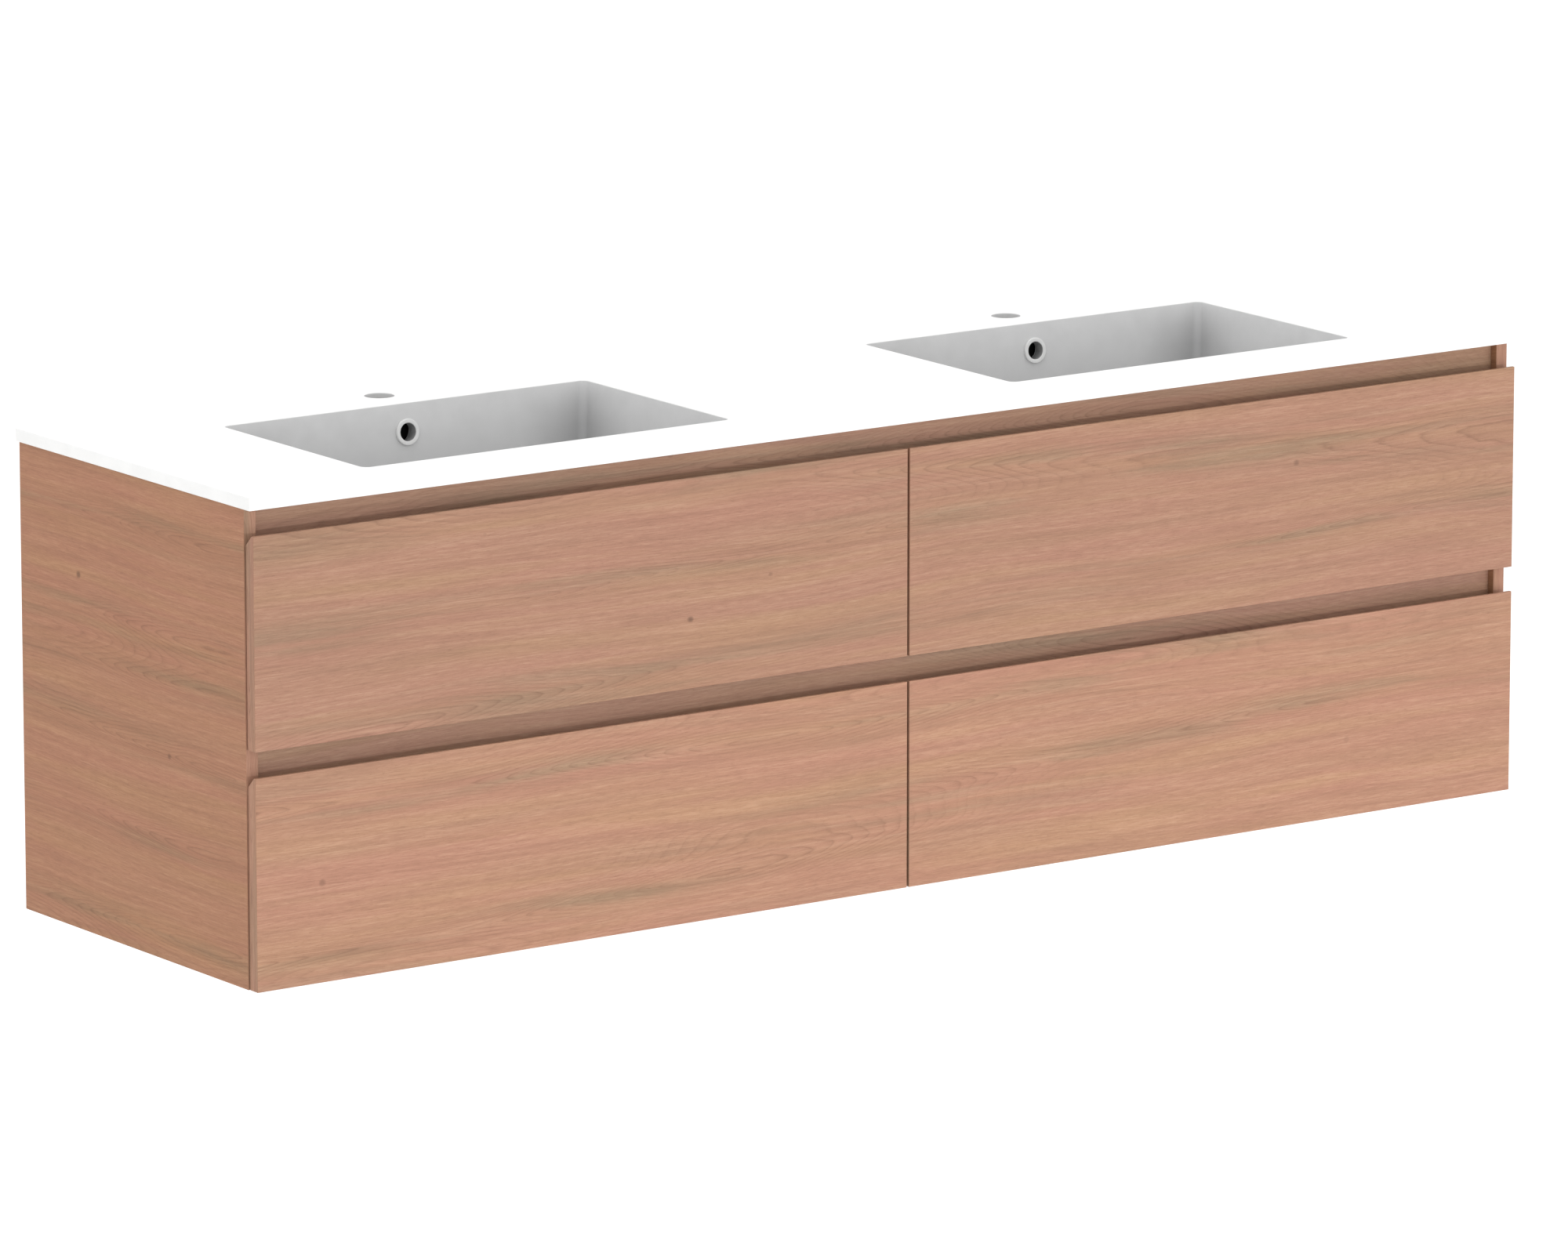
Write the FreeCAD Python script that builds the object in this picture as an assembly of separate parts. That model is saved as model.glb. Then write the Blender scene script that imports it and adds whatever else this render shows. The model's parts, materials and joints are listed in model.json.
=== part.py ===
import FreeCAD, Part
import math
import os

# Wall-hung bathroom vanity: a carcass with four handle-less drawers under a slab worktop with two bowls.
# Millimetres. +X to the right, +Y towards the wall, +Z up, seen from the room.
# The origin lies on the wall plane, in the middle of the wall fixing holes.

# ---- carcass ----
CABINET_W = 1790.0          # over the outer faces of the side panels
CABINET_D = 480.0           # from the wall to the front edges of the side panels
CABINET_H = 550.0           # from the bottom edges of the side panels to the worktop
BOARD_T = 16.0              # laminated board of panels, rails and fronts
FIXING_EDGE = 40.0          # wall fixing holes to the carcass' top edge
FIXING_LIFT = 60.0          # wall fixing holes above the carcass' bottom edge
FIXING_R = 4.5
FIXING_OUTER_INSET = 95.0   # outer holes to the outer faces of the side panels
FIXING_INNER_X = 100.0      # inner holes to the middle of the cabinet
BACK_RAIL_LOW_H = 100.0
BACK_RAIL_HIGH_H = 116.0
RAIL_SETBACK = 10.0         # front rails behind the side panels' front edges
RAIL_DROP = 23.0            # front rails reach this far below the top of the front before them
RAIL_RISE = 10.0            # the middle rail reaches this far above the bottom of the upper fronts

# ---- drawer fronts ----
FINGER_GAP = 30.0           # open height above each row of fronts
FRONT_INSET = 1.5           # fronts inside the side panels' outer faces
CENTRE_GAP = 3.0            # between the left and right fronts
FRONT_CLEAR = 1.0           # fronts ahead of the side panels' front edges
FRONT_LAND = 4.0            # flat left at the top edge of a front, ahead of its bevel

# ---- worktop and bowls ----
TOP_T = 15.0
TOP_SIDE_OVERHANG = 5.0
TOP_FRONT_OVERHANG = 20.0
BOWL_W = 500.0              # opening, side to side
BOWL_FRONT_BORDER = 75.0    # worktop ahead of the opening
BOWL_BACK_BORDER = 125.0    # worktop behind the opening
BOWL_DEPTH = 120.0          # from the worktop's face to the foot of the walls
BOWL_DRAFT = 6.0            # degrees that the walls lean
BOWL_TOP_CORNER = 8.0
BOWL_FOOT_CORNER = 16.0
BOWL_FOOT_FILLET = 12.0
BOWL_FALL = 5.0             # the floor's fall to the waste
BOWL_WALL = 12.0
FLANGE_W = 22.0             # bonding flange around the opening
FLANGE_T = 8.0
TAP_R = 17.5
TAP_TO_WALL = 70.0

# ---- overflow and waste ----
OVERFLOW_DROP = 34.0        # centre of the overflow under the worktop's face
OVERFLOW_R = 10.7
RING_TUBE_R = 12.0
RING_FLANGE_R = 15.5
RING_FLANGE_T = 3.0
RING_CLEAR = 0.5            # between the ring's tube and its hole
RING_TUBE_L = 12.0
DUCT_W = 44.0
DUCT_D = 14.0               # duct behind the bowl's back wall
DUCT_H = 18.0               # duct under the bowl's floor
DUCT_WALL = 5.0
BOSS_R = 38.0
WASTE_FLANGE_R = 32.0
WASTE_FLANGE_T = 3.0
WASTE_BODY_R = 22.4
WASTE_TAIL_R = 20.95        # thread of a 1 1/4 inch waste
WASTE_TAIL_L = 50.0
WASTE_BORE_R = 17.5
WASTE_HOLE_CLEAR = 1.6
NUT_T = 12.0
NUT_FLATS = 58.0
NUT_CLEAR = 0.1
BRIDGE_T = 8.0              # cross-bar in the waste that guides the plug
BRIDGE_W = 7.0
BRIDGE_HUB_R = 9.0
PLUG_R = 30.0
PLUG_EDGE_T = 2.5
PLUG_CROWN = 3.0
PLUG_STEM_R = 5.0
PLUG_STEM_CLEAR = 0.05
PLUG_SEAT_GAP = 0.4

# ---- drawer boxes ----
BOX_T = 15.0                # sides, back and plumbing surround
BOX_BOTTOM_T = 8.0
BOX_BOTTOM_LIFT = 10.0
GROOVE = 7.0
GROOVE_CLEAR = 0.1
BOX_FLOOR_CLEAR = 16.0      # lower boxes over the bottom panel
BOX_RAIL_CLEAR = 6.0        # upper boxes over the middle rail
BOX_TOP_CLEAR = 20.0        # lower boxes under the middle rail
BOX_BOWL_CLEAR = 12.0       # upper boxes under the bowls
TRAP_SPACE = 220.0          # width of the plumbing cut-out in an upper drawer
TRAP_AHEAD = 85.0           # cut-out ahead of the waste's axis

# ---- runners, one pair to a drawer ----
RUNNER_T = 12.7
RUNNER_FRONT = 28.0         # front ends behind the side panels' front edges
RUNNER_STEP = 50.0          # runners come in steps of this length
RUNNER_BACK_CLEAR = 30.0    # at least this much between runners and back rails
BOX_PAST_RUNNER = 2.0
CABINET_MEMBER = (22.5, 1.2, 0.0, 10.2)     # half height, sheet, web face and flange edge from the panel
MIDDLE_MEMBER = (17.0, 1.0, 4.2, 11.2)
DRAWER_MEMBER = (12.5, 1.2, 12.7, 6.5)
LIP = 2.6                   # in-turned lip on the cabinet member's flanges
SCREW_R = 2.0
SCREW_L = 7.0
SCREW_HEAD_R = 3.6
SCREW_HEAD_T = 1.5
SCREW_CLEAR = 0.05
SCREW_FIRST = 37.0          # first screw from a member's front end, last from its back end
CAM_R = 7.5
CAM_T = 12.5
CAM_TO_FRONT = 24.0
CAM_LIFT = 38.0             # lower cam above the box's bottom edge
CAM_DROP = 20.0             # upper cam below the box's top edge
BOLT_R = 3.0
BOLT_IN_FRONT = 8.0
CAM_CLEAR = 0.1

# ---- levels, measured from the wall fixings ----
BOTTOM_Z = -(CABINET_H - FIXING_EDGE + FIXING_LIFT) / 2
FIXING_Z = BOTTOM_Z + CABINET_H - FIXING_EDGE
CARCASS_TOP_Z = BOTTOM_Z + CABINET_H
TOP_Z = CARCASS_TOP_Z + TOP_T
FRONT_H = CABINET_H / 2 - FINGER_GAP
ROW_FRONT_Z = {"lower": BOTTOM_Z, "upper": BOTTOM_Z + FRONT_H + FINGER_GAP}
MIDDLE_RAIL_Z = (BOTTOM_Z + FRONT_H - RAIL_DROP, ROW_FRONT_Z["upper"] + RAIL_RISE)
TOP_RAIL_Z = (ROW_FRONT_Z["upper"] + FRONT_H - RAIL_DROP, CARCASS_TOP_Z)
BOWL_FOOT_Z = TOP_Z - BOWL_DEPTH
DRAIN_Z = BOWL_FOOT_Z - BOWL_FALL
BOWL_UNDER_Z = DRAIN_Z - BOWL_WALL
DUCT_UNDER_Z = BOWL_UNDER_Z - DUCT_H
WASTE_SEAT_Z = DRAIN_Z - WASTE_FLANGE_T
WASTE_SHOULDER_Z = DUCT_UNDER_Z - NUT_T - 2.0
WASTE_END_Z = WASTE_SHOULDER_Z - WASTE_TAIL_L
BOX_Z = {
    "lower": (BOTTOM_Z + BOARD_T + BOX_FLOOR_CLEAR, MIDDLE_RAIL_Z[0] - BOX_TOP_CLEAR),
    "upper": (MIDDLE_RAIL_Z[1] + BOX_RAIL_CLEAR, BOWL_UNDER_Z - BOX_BOWL_CLEAR),
}

# ---- depths ----
PANEL_FRONT_Y = -CABINET_D
RAIL_Y = (PANEL_FRONT_Y + RAIL_SETBACK, PANEL_FRONT_Y + RAIL_SETBACK + BOARD_T)
FRONT_BACK_Y = PANEL_FRONT_Y - FRONT_CLEAR
FRONT_FACE_Y = FRONT_BACK_Y - BOARD_T
TOP_FRONT_Y = PANEL_FRONT_Y - TOP_FRONT_OVERHANG
BOWL_Y = (TOP_FRONT_Y + BOWL_FRONT_BORDER, -BOWL_BACK_BORDER)
BOWL_MID_Y = (BOWL_Y[0] + BOWL_Y[1]) / 2
BOWL_L = BOWL_Y[1] - BOWL_Y[0]
RUNNER_Y0 = PANEL_FRONT_Y + RUNNER_FRONT
RUNNER_L = math.floor((-BOARD_T - RUNNER_BACK_CLEAR - RUNNER_Y0) / RUNNER_STEP) * RUNNER_STEP
BOX_END_Y = RUNNER_Y0 + RUNNER_L + BOX_PAST_RUNNER
TRAP_Y = BOWL_MID_Y - TRAP_AHEAD

# ---- distances from the middle of the cabinet ----
HALF_W = CABINET_W / 2
BAY = (BOARD_T / 2, HALF_W - BOARD_T)
BOX = (BAY[0] + RUNNER_T, BAY[1] - RUNNER_T)
FRONT = (CENTRE_GAP / 2, HALF_W - FRONT_INSET)
TOP_HALF_W = HALF_W + TOP_SIDE_OVERHANG
BOWL_X = TOP_HALF_W / 2     # each bowl is centred on its half of the worktop
FIXING_X = (FIXING_INNER_X, HALF_W - FIXING_OUTER_INSET)

SIDES = {"left": -1, "right": 1}
ROWS = ("upper", "lower")
X_AXIS = FreeCAD.Vector(1, 0, 0)
Y_AXIS = FreeCAD.Vector(0, 1, 0)
Z_AXIS = FreeCAD.Vector(0, 0, 1)
SMALL = 1.0                 # how far a cutting shape runs past the face it opens


def block(x, y, z):
    """A box between three pairs of limits, each in either order."""
    lows = [min(pair) for pair in (x, y, z)]
    sizes = [abs(pair[1] - pair[0]) for pair in (x, y, z)]
    return Part.makeBox(*sizes, FreeCAD.Vector(*lows))


def sided(side, limits):
    """Distances from the middle as X limits on the left (-1) or right (1) side."""
    return (side * limits[0], side * limits[1])


def rod(r, start, axis, length):
    return Part.makeCylinder(r, length, FreeCAD.Vector(*start), axis)


def outline(points):
    """A closed wire through points."""
    corners = [FreeCAD.Vector(*point) for point in points]
    return Part.makePolygon(corners + corners[:1])


def save(name, shape):
    """Write one node, as a single solid where it is one, else as a group."""
    shape = shape.removeSplitter()
    solids = shape.Solids
    assert solids and all(solid.isValid() and solid.Volume > 0 for solid in solids), name
    shape = solids[0] if len(solids) == 1 else Part.makeCompound(solids)
    shape.exportStep("parts/" + name + ".step")


# ---- carcass ----
def runner_levels():
    return {row: sum(BOX_Z[row]) / 2 for row in ROWS}


def screw_places():
    """Y of the three screws of a runner member at rest."""
    first = RUNNER_Y0 + SCREW_FIRST
    last = RUNNER_Y0 + RUNNER_L - SCREW_FIRST
    return (first, (first + last) / 2, last)


def screw_holes(x, direction):
    """Pilot holes for the runners' screws in a board's face at x, into direction along X."""
    return [
        rod(SCREW_R + SCREW_CLEAR, (x, y, z), X_AXIS * direction, SCREW_L + SCREW_CLEAR)
        for z in runner_levels().values()
        for y in screw_places()
    ]


def side_panel(side):
    panel = block(sided(side, (BAY[1], HALF_W)), (PANEL_FRONT_Y, 0), (BOTTOM_Z, CARCASS_TOP_Z))
    return panel.cut(screw_holes(side * BAY[1], side))


def centre_partition():
    panel = block((-BAY[0], BAY[0]), (RAIL_Y[1], -BOARD_T), (BOTTOM_Z + BOARD_T, CARCASS_TOP_Z))
    return panel.cut(screw_holes(BAY[0], -1) + screw_holes(-BAY[0], 1))


def cross_board(y, z):
    """A board between the side panels."""
    return block((-BAY[1], BAY[1]), y, z)


def back_rail(z, hole_z):
    rail = cross_board((-BOARD_T, 0), z)
    holes = [
        rod(FIXING_R, (side * x, -BOARD_T - SMALL, hole_z), Y_AXIS, BOARD_T + 2 * SMALL)
        for side in SIDES.values()
        for x in FIXING_X
    ]
    return rail.cut(holes)


# ---- worktop and bowls ----
def bowl_section(z, grow, corner):
    """Rounded rectangle across the bowl at level z, grown outwards from the inner wall."""
    lean = (TOP_Z - z) * math.tan(math.radians(BOWL_DRAFT))
    x = BOWL_W / 2 - lean + grow
    y = BOWL_L / 2 - lean + grow
    return rounded_rectangle(x, y, corner, z)


def rounded_rectangle(x, y, corner, z):
    """Closed wire with half sizes x and y, centred on the bowl's axis."""
    edges = []
    for turn, (sx, sy) in enumerate(((1, 1), (-1, 1), (-1, -1), (1, -1))):
        centre = FreeCAD.Vector(sx * (x - corner), BOWL_MID_Y + sy * (y - corner), z)
        circle = Part.Circle(centre, Z_AXIS, corner)
        edges.append(circle.toShape(turn * math.pi / 2, (turn + 1) * math.pi / 2))
    straights = []
    for edge, following in zip(edges, edges[1:] + edges[:1]):
        straights.append(Part.makeLine(edge.Vertexes[-1].Point, following.Vertexes[0].Point))
    ordered = [edge for pair in zip(edges, straights) for edge in pair]
    return Part.Wire(ordered)


def foot_edges(solid, z):
    return [edge for edge in solid.Edges if edge.BoundBox.ZMax < z + 0.01]


def bowl_cavity():
    """The space inside a bowl at x = 0, from above the worktop down to the drain."""
    rim = bowl_section(TOP_Z + SMALL, 0, BOWL_TOP_CORNER)
    foot = bowl_section(BOWL_FOOT_Z, 0, BOWL_FOOT_CORNER)
    hollow = Part.makeLoft([rim, foot], True, True)
    hollow = hollow.makeFillet(BOWL_FOOT_FILLET, foot_edges(hollow, BOWL_FOOT_Z))
    flat = bowl_section(BOWL_FOOT_Z, -BOWL_FOOT_FILLET, BOWL_FOOT_CORNER - BOWL_FOOT_FILLET + SMALL)
    drain = rounded_rectangle(WASTE_FLANGE_R, WASTE_FLANGE_R, WASTE_FLANGE_R - SMALL, DRAIN_Z)
    return hollow.fuse(Part.makeLoft([flat, drain], True, True))


def worktop():
    slab = block((-TOP_HALF_W, TOP_HALF_W), (TOP_FRONT_Y, 0), (CARCASS_TOP_Z, TOP_Z))
    cavity = bowl_cavity()
    cuts = []
    for side in SIDES.values():
        cuts.append(moved(cavity, side))
        cuts.append(rod(TAP_R, (side * BOWL_X, -TAP_TO_WALL, CARCASS_TOP_Z - SMALL), Z_AXIS, TOP_T + 2 * SMALL))
    return slab.cut(cuts)


def moved(shape, side):
    """A copy of a shape made at x = 0, placed on a bowl's axis."""
    copy = shape.copy()
    copy.translate(FreeCAD.Vector(side * BOWL_X, 0, 0))
    return copy


def overflow_axis():
    """Centre of the overflow on the back wall, and the wall's normal pointing into the wall."""
    lean = math.radians(BOWL_DRAFT)
    centre = (0, BOWL_Y[1] - OVERFLOW_DROP * math.tan(lean), TOP_Z - OVERFLOW_DROP)
    return centre, FreeCAD.Vector(0, math.cos(lean), -math.sin(lean))


def bowl():
    """Bowl with its bonding flange and moulded overflow duct, at x = 0."""
    rim = bowl_section(CARCASS_TOP_Z, BOWL_WALL, BOWL_TOP_CORNER + BOWL_WALL)
    foot = bowl_section(BOWL_UNDER_Z, BOWL_WALL, BOWL_FOOT_CORNER + BOWL_WALL)
    shell = Part.makeLoft([rim, foot], True, True)
    flange = Part.Face(bowl_section(CARCASS_TOP_Z, FLANGE_W, BOWL_TOP_CORNER + FLANGE_W))
    shell = shell.fuse(flange.extrude(Z_AXIS * -FLANGE_T))
    duct_back = BOWL_Y[1] + BOWL_WALL + DUCT_D
    half = DUCT_W / 2
    shell = shell.fuse([
        block((-half, half), (BOWL_Y[1], duct_back), (DUCT_UNDER_Z, CARCASS_TOP_Z)),
        block((-half, half), (BOWL_MID_Y, duct_back), (DUCT_UNDER_Z, BOWL_UNDER_Z + SMALL)),
        rod(BOSS_R, (0, BOWL_MID_Y, DUCT_UNDER_Z), Z_AXIS, DUCT_H + SMALL),
    ])
    half -= DUCT_WALL
    channel = (duct_back - DUCT_D, duct_back - DUCT_WALL)
    floor = (DUCT_UNDER_Z + DUCT_WALL, BOWL_UNDER_Z - DUCT_WALL)
    centre, inward = overflow_axis()
    hole_r = RING_TUBE_R + RING_CLEAR
    return shell.cut([
        bowl_cavity(),
        block((-half, half), channel, (floor[0], CARCASS_TOP_Z - DUCT_WALL)),
        block((-half, half), (BOWL_MID_Y, channel[1]), floor),
        rod(hole_r, FreeCAD.Vector(*centre) - inward * BOWL_WALL, inward, 2 * BOWL_WALL + DUCT_WALL),
        rod(WASTE_BODY_R + WASTE_HOLE_CLEAR, (0, BOWL_MID_Y, DUCT_UNDER_Z - SMALL), Z_AXIS, BOWL_DEPTH / 2),
        rod(WASTE_FLANGE_R + SMALL, (0, BOWL_MID_Y, WASTE_SEAT_Z), Z_AXIS, BOWL_DEPTH / 2),
    ])


def overflow_ring():
    centre, inward = overflow_axis()
    face = FreeCAD.Vector(*centre)
    ring = rod(RING_FLANGE_R, face - inward * RING_FLANGE_T, inward, RING_FLANGE_T)
    ring = ring.fuse(rod(RING_TUBE_R, face, inward, RING_TUBE_L))
    return ring.cut(rod(OVERFLOW_R, face - inward * BOWL_WALL, inward, 3 * BOWL_WALL))


def waste():
    """Flanged waste with overflow windows and a guide bridge, at x = 0."""
    y = BOWL_MID_Y
    body = rod(WASTE_FLANGE_R, (0, y, WASTE_SEAT_Z), Z_AXIS, WASTE_FLANGE_T)
    body = body.fuse([
        rod(WASTE_BODY_R, (0, y, WASTE_SHOULDER_Z), Z_AXIS, WASTE_SEAT_Z - WASTE_SHOULDER_Z),
        rod(WASTE_TAIL_R, (0, y, WASTE_END_Z), Z_AXIS, WASTE_TAIL_L),
    ])
    body = body.cut(rod(WASTE_BORE_R, (0, y, WASTE_END_Z - SMALL), Z_AXIS, BOWL_DEPTH))
    window = (DUCT_UNDER_Z + DUCT_WALL, BOWL_UNDER_Z - DUCT_WALL)
    reach = WASTE_BODY_R + SMALL
    body = body.cut([
        block((-reach, reach), (y - BRIDGE_W, y + BRIDGE_W), window),
        block((-BRIDGE_W, BRIDGE_W), (y - reach, y + reach), window),
    ])
    low = WASTE_SHOULDER_Z + SMALL
    inside = WASTE_BORE_R + SMALL
    bridge = block((-inside, inside), (y - BRIDGE_W / 2, y + BRIDGE_W / 2), (low, low + BRIDGE_T))
    bridge = bridge.fuse(rod(BRIDGE_HUB_R, (0, y, low), Z_AXIS, BRIDGE_T))
    guide = rod(PLUG_STEM_R + PLUG_STEM_CLEAR, (0, y, low - SMALL), Z_AXIS, BRIDGE_T + 2 * SMALL)
    return body.fuse(bridge).cut(guide)


def waste_nut():
    y = BOWL_MID_Y
    r = NUT_FLATS / 2 / math.cos(math.pi / 6)
    corners = [(r * math.cos(k * math.pi / 3), y + r * math.sin(k * math.pi / 3), DUCT_UNDER_Z) for k in range(6)]
    nut = Part.Face(outline(corners)).extrude(Z_AXIS * -NUT_T)
    return nut.cut(rod(WASTE_BODY_R + NUT_CLEAR, (0, y, DUCT_UNDER_Z + SMALL), -Z_AXIS, NUT_T + 2 * SMALL))


def plug():
    """Domed plug on its guide stem, closed, at x = 0."""
    low = DRAIN_Z + PLUG_SEAT_GAP
    top = low + PLUG_EDGE_T + PLUG_CROWN
    crown_r = (PLUG_R ** 2 + PLUG_CROWN ** 2) / (2 * PLUG_CROWN)
    dome = Part.makeSphere(crown_r, FreeCAD.Vector(0, BOWL_MID_Y, top - crown_r))
    cap = rod(PLUG_R, (0, BOWL_MID_Y, low), Z_AXIS, top - low).common(dome)
    stem = rod(PLUG_STEM_R, (0, BOWL_MID_Y, WASTE_SHOULDER_Z), Z_AXIS, low + SMALL - WASTE_SHOULDER_Z)
    return cap.fuse(stem)


# ---- runners ----
def channel(member, wall, into, z):
    """A runner member: a channel with its web upright. wall is the panel's face and into points to the box."""
    half, sheet, web, edge = member
    turn = 1 if edge > web else -1
    x = [wall + into * distance for distance in (web, web + turn * sheet, edge)]
    profile = [
        (x[0], z - half), (x[2], z - half), (x[2], z - half + sheet), (x[1], z - half + sheet),
        (x[1], z + half - sheet), (x[2], z + half - sheet), (x[2], z + half), (x[0], z + half),
    ]
    wire = outline([(px, RUNNER_Y0, pz) for px, pz in profile])
    return Part.Face(wire).extrude(Y_AXIS * RUNNER_L)


def lips(wall, into, z):
    """In-turned edges that hold the cabinet member's balls."""
    half, sheet, _, edge = CABINET_MEMBER
    x = (wall + into * (edge - sheet), wall + into * edge)
    y = (RUNNER_Y0, RUNNER_Y0 + RUNNER_L)
    return [block(x, y, (z + end * (half - sheet), z + end * (half - LIP))) for end in (-1, 1)]


def screw(x, y, z, direction):
    """Pan-headed screw whose head seats at x and whose shank runs into direction along X."""
    head = rod(SCREW_HEAD_R, (x, y, z), X_AXIS * -direction, SCREW_HEAD_T)
    return head.fuse(rod(SCREW_R, (x, y, z), X_AXIS * direction, SCREW_L + CABINET_MEMBER[1]))


def web_holes(x, z):
    reach = CABINET_MEMBER[1] + SMALL
    return [rod(SCREW_R + SCREW_CLEAR, (x - reach, y, z), X_AXIS, 2 * reach) for y in screw_places()]


def runner_walls(side):
    """The two faces of a bay that carry runners, as X and direction towards the drawer."""
    return ((side * BAY[0], side), (side * BAY[1], -side))


def cabinet_members(side, row):
    z = runner_levels()[row]
    return Part.makeCompound([
        channel(CABINET_MEMBER, wall, into, z).fuse(lips(wall, into, z)).cut(web_holes(wall, z))
        for wall, into in runner_walls(side)
    ])


def middle_members(side, row):
    z = runner_levels()[row]
    return Part.makeCompound([channel(MIDDLE_MEMBER, wall, into, z) for wall, into in runner_walls(side)])


def drawer_members(side, row):
    z = runner_levels()[row]
    return Part.makeCompound([
        channel(DRAWER_MEMBER, wall, into, z).cut(web_holes(wall + into * RUNNER_T, z))
        for wall, into in runner_walls(side)
    ])


def cabinet_screws():
    sheet = CABINET_MEMBER[1]
    return Part.makeCompound([
        screw(wall + into * sheet, y, z, -into)
        for side in SIDES.values()
        for wall, into in runner_walls(side)
        for z in runner_levels().values()
        for y in screw_places()
    ])


# ---- drawers ----
def drawer_front(side, row):
    """Front with a bevelled finger grip along its top back edge and a groove for the box's bottom."""
    x = sided(side, FRONT)
    z = (ROW_FRONT_Z[row], ROW_FRONT_Z[row] + FRONT_H)
    bevel = BOARD_T - FRONT_LAND
    profile = [
        (FRONT_FACE_Y, z[0]), (FRONT_BACK_Y, z[0]), (FRONT_BACK_Y, z[1] - bevel),
        (FRONT_FACE_Y + FRONT_LAND, z[1]), (FRONT_FACE_Y, z[1]),
    ]
    wire = outline([(min(x), py, pz) for py, pz in profile])
    board = Part.Face(wire).extrude(X_AXIS * (FRONT[1] - FRONT[0]))
    return board.cut([bottom_panel(side, row, GROOVE_CLEAR)] + bolts(side, row, CAM_CLEAR))


def bottom_level(row):
    low = BOX_Z[row][0] + BOX_BOTTOM_LIFT
    return (low, low + BOX_BOTTOM_T)


def trap_block(side, grow, y_end, z):
    """The plumbing space of an upper drawer, its walls moved out by grow."""
    x = (side * BOWL_X - TRAP_SPACE / 2 - grow, side * BOWL_X + TRAP_SPACE / 2 + grow)
    return block(x, (TRAP_Y - grow, y_end), z)


def bottom_panel(side, row, grow=0.0):
    """Box bottom, held in grooves in the front and the sides, under the back."""
    u = (BOX[0] + BOX_T - GROOVE - grow, BOX[1] - BOX_T + GROOVE + grow)
    low, high = bottom_level(row)
    panel = block(sided(side, u), (FRONT_BACK_Y - GROOVE - grow, BOX_END_Y + grow), (low - grow, high + grow))
    if row == "upper" and not grow:
        panel = panel.cut(trap_block(side, 0, BOX_END_Y + SMALL, (low - SMALL, high + SMALL)))
    return panel


def side_inner_faces(side):
    """Inner face of each box side, as X and direction into the board."""
    return {
        "inner": (side * (BOX[0] + BOX_T), -side),
        "outer": (side * (BOX[1] - BOX_T), side),
    }


def cam_levels(row):
    return (BOX_Z[row][0] + CAM_LIFT, BOX_Z[row][1] - CAM_DROP)


def cams(side, row, grow=0.0):
    """Cam discs let into the inner faces of the box sides."""
    y = FRONT_BACK_Y + CAM_TO_FRONT
    return [
        rod(CAM_R + grow, (x, y, z), X_AXIS * into, CAM_T + grow)
        for x, into in side_inner_faces(side).values()
        for z in cam_levels(row)
    ]


def bolts(side, row, grow=0.0):
    """Bolts from the cams into the back of the front."""
    start = FRONT_BACK_Y - BOLT_IN_FRONT - grow
    length = BOLT_IN_FRONT + CAM_TO_FRONT - CAM_R - CAM_CLEAR + 2 * grow
    return [
        rod(BOLT_R + grow, (x + into * BOX_T / 2, start, z), Y_AXIS, length)
        for x, into in side_inner_faces(side).values()
        for z in cam_levels(row)
    ]


def box_side(side, row, which):
    inner_face, into = side_inner_faces(side)[which]
    outer_face = inner_face + into * BOX_T
    board = block((inner_face, outer_face), (FRONT_BACK_Y, BOX_END_Y), BOX_Z[row])
    holes = [
        rod(SCREW_R + SCREW_CLEAR, (outer_face, y, runner_levels()[row]), X_AXIS * -into, SCREW_L + SCREW_CLEAR)
        for y in screw_places()
    ]
    return board.cut([bottom_panel(side, row, GROOVE_CLEAR)] + holes + cams(side, row, CAM_CLEAR)
                     + bolts(side, row, CAM_CLEAR))


def box_back(side, row):
    """Back between the sides, above the bottom; an upper one is parted by the plumbing space."""
    u = (BOX[0] + BOX_T, BOX[1] - BOX_T)
    z = (bottom_level(row)[1], BOX_Z[row][1])
    back = block(sided(side, u), (BOX_END_Y - BOX_T, BOX_END_Y), z)
    if row == "upper":
        back = back.cut(trap_block(side, BOX_T, BOX_END_Y + SMALL, (z[0] - SMALL, z[1] + SMALL)))
    return back


def plumbing_surround(side):
    """Three boards on edge around the plumbing space of an upper drawer."""
    z = (bottom_level("upper")[1], BOX_Z["upper"][1])
    outer = trap_block(side, BOX_T, BOX_END_Y, z)
    return outer.cut(trap_block(side, 0, BOX_END_Y + SMALL, (z[0] - SMALL, z[1] + SMALL)))


def box_fixings(side, row):
    """Cams, bolts and runner screws of one drawer."""
    z = runner_levels()[row]
    screws = [
        screw(wall + into * (RUNNER_T - DRAWER_MEMBER[1]), y, z, into)
        for wall, into in runner_walls(side)
        for y in screw_places()
    ]
    return Part.makeCompound(cams(side, row) + bolts(side, row) + screws)


os.makedirs("parts", exist_ok=True)

save("centre_partition", centre_partition())
save("bottom_panel", cross_board((PANEL_FRONT_Y, 0), (BOTTOM_Z, BOTTOM_Z + BOARD_T)))
save("middle_front_rail", cross_board(RAIL_Y, MIDDLE_RAIL_Z))
save("top_front_rail", cross_board(RAIL_Y, TOP_RAIL_Z))
save("lower_back_rail", back_rail((BOTTOM_Z + BOARD_T, BOTTOM_Z + BOARD_T + BACK_RAIL_LOW_H), -FIXING_Z))
save("upper_back_rail", back_rail((CARCASS_TOP_Z - BACK_RAIL_HIGH_H, CARCASS_TOP_Z), FIXING_Z))
save("runner_screws", cabinet_screws())
save("worktop", worktop())
save("waste_nuts", Part.makeCompound([moved(waste_nut(), side) for side in SIDES.values()]))

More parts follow.
